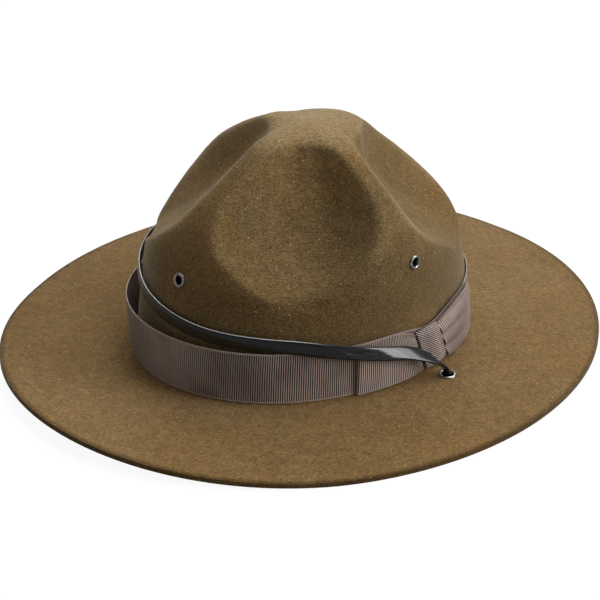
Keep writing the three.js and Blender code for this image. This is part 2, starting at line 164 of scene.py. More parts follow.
def add_bump(tree, shader, height, strength, distance):
    """Feeds a height into the shader's normal."""
    inputs = {"Height": height, "Strength": strength, "Distance": distance}
    bump = add_node(tree, "ShaderNodeBump", inputs)
    tree.links.new(bump.outputs["Normal"], shader.inputs["Normal"])


def new_group(name, inputs, outputs):
    """A shader node group with named float or vector inputs, and named outputs."""
    group = bpy.data.node_groups.new(name, "ShaderNodeTree")
    for socket, kind, value in inputs:
        made = group.interface.new_socket(socket, in_out="INPUT", socket_type=kind)
        made.default_value = value
    for socket, kind in outputs:
        group.interface.new_socket(socket, in_out="OUTPUT", socket_type=kind)
    start = group.nodes.new("NodeGroupInput")
    end = group.nodes.new("NodeGroupOutput")
    return group, start, end


def use_group(tree, group, inputs):
    """The outputs of a node that uses a group."""
    return add_node(tree, "ShaderNodeGroup", inputs, node_tree=group).outputs


print("node helpers ready")

# %% [markdown]
# ## The studio light
# The photograph was taken in soft light: large lights on the right, high and behind, and little
# from the front, which leaves the low front of the crown dark. Area lights would do, but a sun
# with a wide angle is as soft, and its strength doesn't change with distance. Two weak lights with
# small angles, side by side, make the long sharp gleam on the strap. The room behind them all is a
# white world that is brighter overhead than at the horizon. The Standard view keeps the colours as
# they are. A row gives a light's name, azimuth and elevation, its strength, and its angle.

# %% Lights
LIGHTS = [
    ("right_light", 136, 38, 0.5, 45),
    ("back_light", 226, 38, 1.6, 45),
    ("high_light", 166, 64, 0.9, 40),
    ("gleam_near", 120, 18, 0.8, 17),
    ("gleam_far", 137, 22, 0.5, 17),
]
HORIZON_STRENGTH = 0.11
ZENITH_STRENGTH = 0.38

for name, azimuth, elevation, strength, spread in LIGHTS:
    lamp = bpy.data.lights.new(name, "SUN")
    lamp.energy = strength
    lamp.angle = math.radians(spread)
    light = bpy.data.objects.new(name, lamp)
    scene.collection.objects.link(light)
    light.rotation_mode = "QUATERNION"
    light.rotation_quaternion = towards(azimuth, elevation).to_track_quat("Z", "Y")

world = bpy.data.worlds.new("studio")
world.use_nodes = True
tree = world.node_tree
room = tree.nodes["Background"]
room.inputs["Color"].default_value = (1, 1, 1, 1)
direction = add_node(tree, "ShaderNodeTexCoord").outputs["Generated"]
rise = axes_of(tree, direction)["Z"]
overhead = map_range(tree, rise, 0, 1, HORIZON_STRENGTH, ZENITH_STRENGTH, "LINEAR")
tree.links.new(overhead, room.inputs["Strength"])
scene.world = world
scene.view_settings.view_transform = "Standard"
print("lights:", len(LIGHTS))

# %% [markdown]
# ## The floor
# The hat stands on a plain pale table. One large plane is enough. It looks nearly white, but it
# throws less light back up than white would, as the dark underside of the brim in the photograph
# asks, so its material answers the camera and the other rays differently. Under the hat it is in
# the dark, or it would shine through the vents from inside.

# %% Floor
FLOOR_SIZE = 12
FLOOR_GLOW = 0.93
FLOOR_SEEN = (0.1, 0.1, 0.1, 1)
FLOOR_TONE = (0.35, 0.35, 0.35, 1)
SHELTER_START = 0.15
SHELTER_FULL = 0.12

bpy.ops.mesh.primitive_plane_add(size=FLOOR_SIZE)
floor = bpy.context.object
floor.name = "floor"
floor_material = bpy.data.materials.new("pale_table")
floor_material.use_nodes = True
tree = floor_material.node_tree
tree.nodes.clear()
from_middle = add_node(tree, "ShaderNodeVectorMath", {0: object_place(tree)}, operation="LENGTH")
off = from_middle.outputs["Value"]
sheltered = map_range(tree, off, SHELTER_FULL, SHELTER_START, 0, FLOOR_GLOW, "LINEAR")
glow = add_node(tree, "ShaderNodeEmission", {"Color": (1, 1, 1, 1), "Strength": sheltered})
seen = add_node(tree, "ShaderNodeBsdfDiffuse", {"Color": FLOOR_SEEN})
bright = add_node(tree, "ShaderNodeAddShader", {0: seen.outputs[0], 1: glow.outputs[0]})
dull = add_node(tree, "ShaderNodeBsdfDiffuse", {"Color": FLOOR_TONE})
for_camera = add_node(tree, "ShaderNodeLightPath").outputs["Is Camera Ray"]
either = {0: for_camera, 1: dull.outputs[0], 2: bright.outputs[0]}
mixed = add_node(tree, "ShaderNodeMixShader", either)
add_node(tree, "ShaderNodeOutputMaterial", {"Surface": mixed.outputs[0]})
floor.data.materials.append(floor_material)
print("floor:", FLOOR_SIZE, "m wide")

# %% [markdown]
# ## Measures of the hat
# The crown is described by a short table of its sections from the brim up, in millimetres. front,
# back and side are the distances from the middle to the four ridges. front_dent and back_dent are
# the shares that the dents take away, those in front reaching higher, and reach is half of a
# dent's width in degrees. A smooth curve through the rows gives every height between them. Pressed
# in by hand, the dents are round hollows with a soft rim, and lie a little nearer to the side
# ridges, by DENT_SHIFT degrees. The brim's edge drops a little and rises and falls in slow waves,
# each with its number of times round the hat.

# %% Tables and curves
MM = 0.001
FELT_THICKNESS = 2.8
BRIM_ENDS = 78.2
BRIM_SIDES = 75.8
BRIM_LEVEL = 7.6
BRIM_DROP = 3.45
BRIM_WAVES = [(1, 2.2, -0.9), (2, 1.8, 0.5), (3, 1.5, -0.8)]
BRIM_FALL_POWER = 1.5
BREAK_RADIUS = 3
CROWN_COLUMNS = ("height", "front", "back", "side", "front_dent", "back_dent", "reach")
CROWN_ROWS = [
    (0, 104, 104, 83.5, 0, 0, 10),
    (24, 102, 101.2, 82.4, 0, 0, 10),
    (48, 98.7, 96.1, 81.2, 0, 0, 8),
    (57, 97.2, 93.3, 81.1, 0.03, 0.03, 9),
    (64, 95.4, 90, 80.9, 0.12, 0.13, 16),
    (74, 92, 83.5, 80, 0.27, 0.28, 26),
    (84, 86.5, 75.5, 77, 0.38, 0.38, 33),
    (95, 77.5, 65, 70, 0.46, 0.45, 37),
    (106, 62.5, 52.5, 56.5, 0.49, 0.4, 38.5),
    (116, 45, 41, 39.5, 0.48, 0.22, 37),
    (122, 31, 31, 26, 0.37, 0.03, 33),
    (126, 0, 0, 0, 0, 0, 30),
]
DENT_SHIFT = 4.5
DENT_POWER = 3
RIM_SOFTNESS = 0.2
HALVINGS = 30


def named(columns, rows):
    """The rows of a table with their columns' names."""
    return [dict(zip(columns, row)) for row in rows]


def value_at(rows, column, place):
    """One column at a place between rows, on a smooth curve that never swings past a row."""
    last = len(rows) - 1
    row = min(max(math.floor(place), 0), last - 1)
    part = place - row

    def slope(index):
        if index == 0:
            return rows[1][column] - rows[0][column]
        if index == last:
            return rows[last][column] - rows[last - 1][column]
        before = rows[index][column] - rows[index - 1][column]
        after = rows[index + 1][column] - rows[index][column]
        return 2 * before * after / (before + after) if before * after > 0 else 0

    return (
        rows[row][column] * (2 * part**3 - 3 * part**2 + 1)
        + slope(row) * (part**3 - 2 * part**2 + part)
        + rows[row + 1][column] * (3 * part**2 - 2 * part**3)
        + slope(row + 1) * (part**3 - part**2)
    )


CROWN = named(CROWN_COLUMNS, CROWN_ROWS)


def place_at_height(height):
    """Where in the crown's table a height over the brim is, found by halving."""
    low, high = 0, len(CROWN) - 1
    for _ in range(HALVINGS):
        middle = (low + high) / 2
        if value_at(CROWN, "height", middle) < height:
            low = middle
        else:
            high = middle
    return low


def oval_point(turn, front, back, side, off, height):
    """A point of an oval section, in metres. turn goes from the front to the wearer's left."""
    length = front if math.cos(turn) > 0 else back
    return Vector((
        (side + off) * math.sin(turn) * MM,
        -(length + off) * math.cos(turn) * MM,
        (BRIM_LEVEL + height) * MM,
    ))


def crown_point(place, turn):
    """A point of the crown's outside."""
    shifted = math.degrees(turn) - DENT_SHIFT * math.sin(2 * turn)
    from_dent = abs(shifted % 90 - 45)
    inside = 1 - (from_dent / value_at(CROWN, "reach", place)) ** DENT_POWER
    dented = (inside + math.hypot(inside, RIM_SOFTNESS)) / 2
    frontness = (1 + math.cos(turn)) / 2
    deep_front, deep_back = (value_at(CROWN, name, place) for name in ("front_dent", "back_dent"))
    left = 1 - (deep_back + (deep_front - deep_back) * frontness) * dented
    front, back, side = (value_at(CROWN, name, place) * left for name in ("front", "back", "side"))
    return oval_point(turn, front, back, side, 0, value_at(CROWN, "height", place))


def wall_point(turn, height, off):
    """A point at a distance from the upright crown wall below the dents."""
    place = place_at_height(max(height, 0))
    oval = [value_at(CROWN, name, place) for name in ("front", "back", "side")]
    return oval_point(turn, *oval, off, height)


def brim_point(out, turn):
    """The top of the brim, out millimetres from the foot of the crown at the sides."""
    share = out / BRIM_SIDES
    edge = -BRIM_DROP
    for times, rise, turned_rise in BRIM_WAVES:
        edge += rise * math.cos(times * turn)
        edge += turned_rise * math.sin(times * turn)
    fall = edge * share**BRIM_FALL_POWER
    longer = share * BRIM_ENDS - out
    foot = CROWN[0]
    point = oval_point(turn, foot["front"] + longer, foot["back"] + longer, foot["side"], out, fall)
    point.z = max(point.z, FELT_THICKNESS * MM)
    return point


def crown_normal(place, turn):
    """The crown's outward direction, from small steps up and round."""
    step = 0.02
    rise = crown_point(min(place + step, len(CROWN) - 1), turn) - crown_point(place - step, turn)
    sideways = crown_point(place, turn + step) - crown_point(place, turn - step)
    return sideways.cross(rise).normalized()


print("crown height over the brim:", CROWN[-1]["height"], "mm")

# %% [markdown]
# ## Helpers for lofting
# A hat, a ribbon and a strap are all surfaces that grow ring by ring, or strip by strip. By hand
# that is one loop of vertices, extruded again and again, and shaped after each step. Each vertex
# keeps the number of its step round the loop in a layer of the mesh, which an extrusion copies, so
# every new loop can be laid exactly on its points.

# %% Loft by extruding
def only(piece):
    """Selects one object and makes it active."""
    bpy.ops.object.select_all(action="DESELECT")
    piece.select_set(True)
    bpy.context.view_layer.objects.active = piece


def lay_selected(piece, points):
    """Moves the selected vertices onto the points, by their step numbers."""
    mesh = bmesh.from_edit_mesh(piece.data)
    steps = mesh.verts.layers.int["step"]
    for vertex in mesh.verts:
        if vertex.select:
            vertex.co = points[vertex[steps]]
    bmesh.update_edit_mesh(piece.data)


def loft(name, rings, closed=True):
    """A surface through rings of points, made by extruding its first ring along the others."""
    bpy.ops.mesh.primitive_circle_add(vertices=len(rings[0]), radius=0.01)
    piece = bpy.context.object
    piece.name = name
    bpy.ops.object.mode_set(mode="EDIT")
    mesh = bmesh.from_edit_mesh(piece.data)
    steps = mesh.verts.layers.int.new("step")
    for number, vertex in enumerate(mesh.verts):
        vertex[steps] = number
    if not closed:
        ends = {0, len(rings[0]) - 1}
        gap = [edge for edge in mesh.edges if {v[steps] for v in edge.verts} == ends]
        bmesh.ops.delete(mesh, geom=gap, context="EDGES_FACES")
    bmesh.update_edit_mesh(piece.data)
    bpy.ops.mesh.select_all(action="SELECT")
    lay_selected(piece, rings[0])
    for points in rings[1:]:
        bpy.ops.mesh.extrude_region_move()
        lay_selected(piece, points)
    bpy.ops.object.mode_set(mode="OBJECT")
    return piece


def finish_mesh(piece, angle=40):
    """Smooth shading except across sharp corners."""
    only(piece)
    bpy.ops.object.shade_smooth_by_angle(angle=math.radians(angle))


def apply_modifier(piece, kind, **settings):
    """Adds a modifier with these settings and applies it."""
    only(piece)
    modifier = piece.modifiers.new(kind.title(), kind)
    for name, value in settings.items():
        setattr(modifier, name, value)
    bpy.ops.object.modifier_apply(modifier=modifier.name)


def recalculate(piece, weld=None):
    """Turns all faces outwards, after welding vertices closer than weld, in millimetres."""
    only(piece)
    bpy.ops.object.mode_set(mode="EDIT")
    bpy.ops.mesh.select_all(action="SELECT")
    if weld is not None:
        bpy.ops.mesh.remove_doubles(threshold=weld * MM)
    bpy.ops.mesh.normals_make_consistent(inside=False)
    bpy.ops.object.mode_set(mode="OBJECT")


def lay_uv(piece, along, across):
    """A UV map of a loft, from how far along each ring lies and how far across each step."""
    mesh = piece.data
    steps = [step.value for step in mesh.attributes["step"].data]
    layer = mesh.uv_layers.new(name="cloth")
    for loop in mesh.loops:
        vertex = loop.vertex_index
        layer.data[loop.index].uv = (along[vertex // len(across)], across[steps[vertex]])


print("helpers ready")

# %% [markdown]
# ## The felt body
# Crown and brim of such a hat are one piece of stiff felt, blocked over a wooden form and cut
# round its edge. It could be sculpted, but the sections are known, so it is lofted from the edge
# of the brim inwards, up the crown and to the peak. A Solidify modifier then gives it the felt's
# thickness, inwards, and a Bevel takes the sharpness off the cut edge.

# %% Felt body
FELT_TURNS = 192
BRIM_STEPS = 18
CORNER_STEPS = 4
CROWN_STEP = 0.11
TOP_MARGIN = 0.05
EDGE_ROUNDING = 0.5
EDGE_ANGLE = 1.2


def felt_ring(make):
    """One ring of the felt, from a function of the turn."""
    return [make(2 * math.pi * step / FELT_TURNS) for step in range(FELT_TURNS)]


def corner_point(part, turn):
    """The rounding between brim and crown: part 0 is on the brim and part 1 on the wall."""
    lean = part * math.pi / 2
    off = BREAK_RADIUS * (1 - math.sin(lean))
    height = BREAK_RADIUS * (1 - math.cos(lean))
    return wall_point(turn, height, off)


felt_rings = []
for step in range(BRIM_STEPS):
    out = BRIM_SIDES + (BREAK_RADIUS - BRIM_SIDES) * step / BRIM_STEPS
    felt_rings.append(felt_ring(lambda turn: brim_point(out, turn)))
for step in range(CORNER_STEPS):
    part = step / CORNER_STEPS
    felt_rings.append(felt_ring(lambda turn: corner_point(part, turn)))
place = place_at_height(BREAK_RADIUS)
while place < len(CROWN) - 1 - TOP_MARGIN:
    felt_rings.append(felt_ring(lambda turn: crown_point(place, turn)))
    place += CROWN_STEP
felt = loft("felt_hat", felt_rings)
only(felt)
bpy.ops.object.mode_set(mode="EDIT")
bpy.ops.mesh.merge(type="CENTER")
bpy.ops.object.mode_set(mode="OBJECT")
peak = max(felt.data.vertices, key=lambda vertex: vertex.co.z)
peak.co = crown_point(len(CROWN) - 1, 0)
recalculate(felt)
apply_modifier(felt, "SOLIDIFY", thickness=FELT_THICKNESS * MM, offset=-1, use_even_offset=True)
print("felt faces:", len(felt.data.polygons))

# %% [markdown]
# The felt has four vent holes in its ridges and two strap holes in the brim. By hand they are
# punched with round cutters, and here a Boolean does that with six cylinders joined in one object.
# Where the brim rests, its underside is pressed flat on the table.

# %% Holes in the felt
VENTS = {
    "front_vent": (1.5, 61),
    "left_vent": (93.5, 67.5),
    "back_vent": (180, 53),
    "right_vent": (-93.5, 67.5),
}
VENT_RING = {"hole": 2.5, "barrel": 2.9, "flange": 4.1}
EYELETS = {"brim_eyelet_left": 98.4, "brim_eyelet_right": -98.4}
EYELET_RING = {"hole": 3.3, "barrel": 3.75, "flange": 4.9}
EYELET_OUT = 15.1
HOLE_CLEARANCE = 0.35


def vent_hole(degrees, height):
    """A vent's ring, its centre on the felt and its axis, from its turn and height."""
    spot = place_at_height(height)
    turn = math.radians(degrees)
    return VENT_RING, crown_point(spot, turn), crown_normal(spot, turn)


def eyelet_hole(degrees):
    """An eyelet's ring, its centre on the brim and its axis, from its turn."""
    turn = math.radians(degrees)
    centre = brim_point(EYELET_OUT, turn)
    outwards = brim_point(EYELET_OUT + 1, turn) - centre
    sideways = brim_point(EYELET_OUT, turn + 0.01) - centre
    return EYELET_RING, centre, outwards.cross(sideways).normalized()


def stand_on(centre, axis):
    """The place of something modelled upright at the origin, stood on a point along an axis."""
    return Matrix.Translation(centre) @ axis.to_track_quat("Z", "Y").to_matrix().to_4x4()


holes = {name: vent_hole(*place) for name, place in VENTS.items()}
holes.update({name: eyelet_hole(turn) for name, turn in EYELETS.items()})
cutters = []
for ring, centre, axis in holes.values():
    radius = (ring["barrel"] + HOLE_CLEARANCE) * MM
    bpy.ops.mesh.primitive_cylinder_add(vertices=48, radius=radius, depth=6 * FELT_THICKNESS * MM)
    bpy.context.object.matrix_world = stand_on(centre, axis)
    cutters.append(bpy.context.object)
for cutter in cutters:
    cutter.select_set(True)
bpy.ops.object.join()
punch = bpy.context.object
apply_modifier(felt, "BOOLEAN", object=punch, operation="DIFFERENCE", solver="EXACT")
bpy.data.objects.remove(punch)
apply_modifier(
    felt,
    "BEVEL",
    width=EDGE_ROUNDING * MM,
    segments=2,
    limit_method="ANGLE",
    angle_limit=EDGE_ANGLE,
)
for vertex in felt.data.vertices:
    vertex.co.z = max(vertex.co.z, 0)
finish_mesh(felt, 50)
print("felt faces with holes:", len(felt.data.polygons))

# %% [markdown]
# ## The ribbon band
# The band is a grosgrain ribbon, sewn round the foot of the crown. It lies close at the wearer's
# left and closest behind, and hangs open at the front right, where its top edge stands clear of the
# felt. Under the bow the wrap pulls its top edge down. Flare, hug and pinch are each a depth, and a
# turn and a spread in degrees. The band is lofted like the felt, then given the ribbon's thickness.

# %% Hat band
BAND_LOW = 1
BAND_HIGH = 30.5
BAND_WIDTH = BAND_HIGH - BAND_LOW
RIBBON_SOLID = 1
RIBBON_CLOTH = 0.6
BAND_STANDOFF = 1.3
BAND_FRONT_LEAN = 0.9
BAND_FLARE = (5, -34, 34)
FLARE_AT_FOOT = 0.2
BAND_HUG = (1.3, 165, 38)
BAND_PINCH = (4.2, 98.5, 9)
BAND_SEAM_TURN = 98
BAND_STEPS = 360
BAND_ROWS = 15


def near(turn, depth, middle, spread):
    """A depth that is full at one turn in degrees and fades on both sides of it."""
    off = (turn - middle + 180) % 360 - 180
    return depth * math.exp(-((off / spread) ** 2))


def band_standoff(turn, share):
    """How far the inside of the band stands off the crown, at a share of its height."""
    flare = near(math.degrees(turn), *BAND_FLARE)
    lean = BAND_FRONT_LEAN * share * max(math.cos(turn), 0)
    opening = FLARE_AT_FOOT + (1 - FLARE_AT_FOOT) * share
    return BAND_STANDOFF + lean + flare * opening


def ribbon_point(turn, height, depth):
    """A point of the band, or of what lies on it, at a turn in degrees and a height."""
    share = min(max((height - BAND_LOW) / BAND_WIDTH, 0), 1)
    angle = math.radians(turn)
    return wall_point(angle, height, band_standoff(angle, share) + depth)


def loft_along(rings):
    """How far each ring lies along a loft, by the middle of its points."""
    middles = [ring[len(ring) // 2] for ring in rings]
    along = [0.0]
    for before, after in zip(middles, middles[1:]):
        along.append(along[-1] + (after - before).length)
    return along


def ribbon_sheet(name, rings, thickness, width):
    """A ribbon through rings that run across it, with a UV map in metres, and its length."""
    piece = loft(name, rings, closed=False)
    steps = len(rings[0])
    along = loft_along(rings)
    lay_uv(piece, along, [width * MM * step / (steps - 1) for step in range(steps)])
    apply_modifier(piece, "SOLIDIFY", thickness=thickness * MM, offset=-1, use_even_offset=True)
    return piece, along[-1]


band_rings = []
for step in range(BAND_STEPS + 1):
    turn = BAND_SEAM_TURN + 360 * step / BAND_STEPS
    width = BAND_WIDTH - near(turn, *BAND_PINCH)
    hug = near(turn, *BAND_HUG)
    heights = [BAND_LOW + width * row / (BAND_ROWS - 1) for row in range(BAND_ROWS)]
    band_rings.append([ribbon_point(turn, height, RIBBON_SOLID - hug) for height in heights])
band, band_length = ribbon_sheet("ribbon_band", band_rings, RIBBON_CLOTH, BAND_WIDTH)
finish_mesh(band)
print("band length:", round(band_length, 3), "m")

# %% [markdown]
# ## The bow
# The flat bow on the wearer's left is the same ribbon, folded into two loops and held by a wrap
# across the middle. Each loop is one strip that runs from under the wrap to its outer fold and
# back again, a little higher. A table gives its path: low_turn and high_turn are the places of its
# lower and upper edge round the hat, low and high their heights, and lift how far it lies off the
# band. A flat shape with a printed fold would be quicker, but the open folds throw real shadows.

# %% Bow loops
LOOP_COLUMNS = ("low_turn", "high_turn", "low", "high", "lift")
FRONT_LOOP = [
    (94.6, 90.8, 1.8, 25.6, 0.45),
    (88, 86, 1.1, 28.6, 0.5),
    (80, 79.5, 0.9, 30.6, 0.5),
    (72.5, 72.5, 0.9, 31, 0.5),
    (70.2, 70.2, 0.9, 30.7, 0.8),
    (69.6, 69.6, 0.9, 30.6, 1.6),
    (70.3, 70.3, 0.9, 31.3, 2.5),
    (74, 74, 1.1, 32, 2.9),
    (80.5, 79.8, 1.2, 32.2, 3.1),
    (88, 86, 1.1, 30.4, 2.9),
    (92, 88.8, 1.3, 28.4, 2.3),
    (95, 91, 1.7, 25.9, 1.5),
]
REAR_LOOP = [
    (107, 101.6, 1.8, 25.6, 0.45),
    (112, 109.5, 1.1, 28.6, 0.5),
    (119, 118.5, 0.9, 30.6, 0.5),
    (125, 125, 0.9, 31, 0.6),
    (126.8, 126.8, 0.9, 30.7, 0.8),
    (127.3, 127.3, 0.9, 30.6, 1.25),
    (126.7, 126.7, 1.2, 31.4, 1.75),
    (123, 123, 1.7, 32.4, 2.4),
    (117, 116, 1.8, 32.6, 3),
    (111.5, 108.8, 1.4, 31, 2.9),
    (108.6, 104.4, 1.4, 28.8, 2.3),
    (106.8, 101.4, 1.7, 26.6, 1.5),
]
LOOP_ROWS = 33
LOOP_STEPS_PER_ROW = 8
LOOP_CLOTH = 0.35
LOOP_SEAT = 0.3
LOOP_BOW = 0.25
RIBBON_SEAT = 1.35
RIBBON_WIDTH = 30
PLEATS = 3
PLEAT_START = 0.3
PLEAT_ROUNDING = 0.6
PLEAT_REACH = 4
FRONT_PLEAT = 0.9
REAR_PLEAT = 3.6


def strip_rings(table, steps, rows, lift_of):
    """Rings across a ribbon through a table of its path, each point lifted off the band."""
    rings = []
    for step in range(steps + 1):
        place = (len(table) - 1) * step / steps
        at = {column: value_at(table, column, place) for column in table[0]}
        ring = []
        for row in range(rows):
            share = row / (rows - 1)
            turn = at["low_turn"] + (at["high_turn"] - at["low_turn"]) * share
            height = at["low"] + (at["high"] - at["low"]) * share
            ring.append(ribbon_point(turn, height, RIBBON_SEAT + lift_of(at, place, share)))
        rings.append(ring)
    return rings


def pleated(share, place, last, depth):
    """How far a fold stands up near the wrap, where the ribbon is gathered."""
    gathered = max(0, 1 - (last - place) / PLEAT_REACH)
    wave = abs(math.sin((share * PLEATS + PLEAT_START) * math.pi))
    return depth * gathered * (wave**PLEAT_ROUNDING - PLEAT_ROUNDING)


def bow_loop(name, rows, pleat_depth):
    """A folded loop of ribbon through a table of its path."""
    last = len(rows) - 1

    def lift_of(at, place, share):
        bowed = 1 - LOOP_BOW + LOOP_BOW * math.sin(math.pi * share)
        return max(at["lift"] * bowed + pleated(share, place, last, pleat_depth), LOOP_SEAT)

    steps = last * LOOP_STEPS_PER_ROW
    rings = strip_rings(named(LOOP_COLUMNS, rows), steps, LOOP_ROWS, lift_of)
    piece, length = ribbon_sheet(name, rings, LOOP_CLOTH, RIBBON_WIDTH)
    recalculate(piece)
    finish_mesh(piece, 60)
    return piece, length


front_loop, front_loop_length = bow_loop("bow_front_loop", FRONT_LOOP, FRONT_PLEAT)
rear_loop, rear_loop_length = bow_loop("bow_rear_loop", REAR_LOOP, REAR_PLEAT)
print("loop lengths:", round(front_loop_length, 3), round(rear_loop_length, 3))

# %% [markdown]
# The wrap is a short piece of the ribbon, gathered a little and drawn over the middle of the bow.
# It bulges in the middle, is pinched at its ends, and has a few soft creases low down. Its ribs run
# aslant, which its UV map shows by turning the ribbon on it.

# %% Bow wrap
WRAP_COLUMNS = ("share", "low_turn", "high_turn", "low", "high", "lift")
WRAP = [
    (0, 96.1, 91.6, 1.6, 26.2, 0.5),
    (0.12, 95.9, 91.3, 1.2, 26.6, 1.9),
    (0.3, 97.6, 93.3, 0.8, 27.4, 3.4),
    (0.5, 101.2, 96.4, 0.7, 27.9, 4.3),
    (0.7, 103.9, 99.2, 0.8, 27.6, 3.6),
    (0.88, 106, 101.4, 1.2, 26.8, 2),
    (1, 106.4, 101.8, 1.6, 26.2, 0.5),
]
WRAP_SLANT = 41
WRAP_WIDTH = 27
WRAP_CLOTH = 0.4
WRAP_SEAT = 0.35
WRAP_CREASES = 5
WRAP_CREASE_DEPTH = 0.35
WRAP_END_LIFT = 0.35
WRAP_PINCH_POWER = 8
WRAP_ROWS = 21
WRAP_STEPS = 28


def wrap_lift(at, place, share):
    """How far the wrap lies off the seat of the bow, with its bulge and creases."""
    full = 1 - (2 * share - 1) ** WRAP_PINCH_POWER
    crease = WRAP_CREASE_DEPTH * math.sin(at["share"] * WRAP_CREASES * math.pi) * (1 - share)
    bulge = at["lift"] * (WRAP_END_LIFT + (1 - WRAP_END_LIFT) * full)
    return WRAP_SEAT + bulge + crease * full


wrap_rings = strip_rings(named(WRAP_COLUMNS, WRAP), WRAP_STEPS, WRAP_ROWS, wrap_lift)
wrap, wrap_length = ribbon_sheet("bow_wrap", wrap_rings, WRAP_CLOTH, WRAP_WIDTH)
slant = Matrix.Rotation(math.radians(WRAP_SLANT + 90), 2)
for corner in wrap.data.uv_layers["cloth"].data:
    corner.uv = slant @ corner.uv
recalculate(wrap)
finish_mesh(wrap, 60)
print("wrap length:", round(wrap_length, 3), "m")

# %% [markdown]
# ## The chin strap
# The strap is one loop of glossy black leather. It lies across the front of the crown, drops
# through the eyelets in the brim, and passes behind the head under the brim. The path is a table of
# its places round the hat, how far it lies off the crown, its height, its width, and how far it is
# turned from standing on its edge to lying flat.

# %% Chin strap
STRAP_THICKNESS = 1.8
STRAP_FLOOR = 1.2
SLIDE_FLOOR = 1.8
STRAP_COLUMNS = ("turn", "off", "height", "width", "tilt")
FRONT_STRAP = [
    (-96.9, 14.6, 5.5, 5, 80),
    (-95, 12.2, 13, 6, 45),
    (-90.5, 8.3, 25, 7.4, 20),
    (-83, 4.2, 37, 8, 6),
    (-73, 1.9, 44.5, 8, 0),
    (-58, 1.9, 47.5, 8, 0),
    (-38, 2, 46, 8, 0),
    (-18, 2, 42.5, 8, 0),
    (0, 1.8, 39.5, 8, 0),
    (18, 2, 37.2, 8, 0),
    (34, 2.4, 36, 8, 2),
    (47, 3.9, 35, 8, 5),
    (58, 5.2, 32, 8, 8),
    (68, 6.8, 28.4, 8, 12),
    (78, 8, 24, 8, 24),
    (86, 9.2, 20, 8, 36),
    (92, 11.4, 14.5, 7.4, 50),
    (95.6, 13.8, 9, 6, 66),
    (97.5, 15, 4.6, 5, 82),
]
BACK_STRAP = [
    (98.4, 15.1, 7, 4.8, 90),
    (98.45, 15.1, 4, 4.8, 90),
    (99.4, 15.1, 1.5, 5.2, 90),
    (102, 15.2, STRAP_FLOOR, 7.4, 90),
    (112, 16, STRAP_FLOOR, 8, 90),
    (128, 17, STRAP_FLOOR, 8, 90),
    (145, 17.5, STRAP_FLOOR, 8, 90),
    (162, 17.5, STRAP_FLOOR, 8, 90),
    (174, 17.5, SLIDE_FLOOR, 8, 90),
]
STRAP_STEPS_PER_ROW = 8
STRAP_SECTION = 20
UPPER_EDGE = 0.5
WIDTH_ROUNDING = 0.55
EDGE_SOFTNESS = 0.75

back_strap = named(STRAP_COLUMNS, BACK_STRAP)
left_strap = [{**row, "height": row["height"] - BRIM_LEVEL} for row in back_strap]
right_strap = [{**row, "turn": -row["turn"]} for row in reversed(left_strap)]
strap_table = [
    {**left_strap[-1], "turn": -180},
    *right_strap,
    *named(STRAP_COLUMNS, FRONT_STRAP),
    *left_strap,
    {**left_strap[-1], "turn": 180},
]


def strap_middle(place):
    """The middle of the leather at a place in the strap's table."""
    turn, height, off = (value_at(strap_table, name, place) for name in ("turn", "height", "off"))
    return wall_point(math.radians(turn), height, off)


def rounded(value, power):
    """A sine or cosine brought nearer to 1, which makes a rounded oblong of a circle."""
    return math.copysign(abs(value) ** power, value)


def strap_ring(place):
    """The rounded section of the leather at a place in the strap's table."""
    step = 0.05
    point = strap_middle(place)
    forwards = (strap_middle(place + step) - strap_middle(place - step)).normalized()
    tilt = math.radians(value_at(strap_table, "tilt", place))
    outwards = Vector((point.x, point.y, 0)).normalized()
    sideways = Vector((0, 0, math.cos(tilt))) - outwards * math.sin(tilt)
    sideways = (sideways - forwards * sideways.dot(forwards)).normalized()
    face = forwards.cross(sideways)
    half_width = value_at(strap_table, "width", place) / 2
    ring = []
    for number in range(STRAP_SECTION):
        angle = 2 * math.pi * number / STRAP_SECTION
        across = rounded(math.cos(angle), WIDTH_ROUNDING) * half_width
        depth = rounded(math.sin(angle), EDGE_SOFTNESS) * STRAP_THICKNESS / 2
        ring.append(point + sideways * across * MM + face * depth * MM)
    return ring


strap_count = (len(strap_table) - 1) * STRAP_STEPS_PER_ROW
strap_rings = [strap_ring(step / STRAP_STEPS_PER_ROW) for step in range(strap_count + 1)]
strap = loft("leather_strap", strap_rings)
strap_along = loft_along(strap_rings)
section = [(step / STRAP_SECTION + UPPER_EDGE) % 1 for step in range(STRAP_SECTION)]
lay_uv(strap, strap_along, section)
recalculate(strap, weld=0.02)
finish_mesh(strap, 70)
print("strap length:", round(strap_along[-1], 3), "m")

# %% [markdown]
# ## Metal rings
# Vents and eyelets are rings of thin metal, pressed through the felt and rolled over on both
# sides. Half of a ring's section is drawn once as a chain of points and spun round its axis, then
# each ring is a copy of its own, stood in its hole.

# %% Vents and eyelets
FLANGE_SEAT = 0.35
FLANGE_THICKNESS = 0.8
RING_TURNS = 48


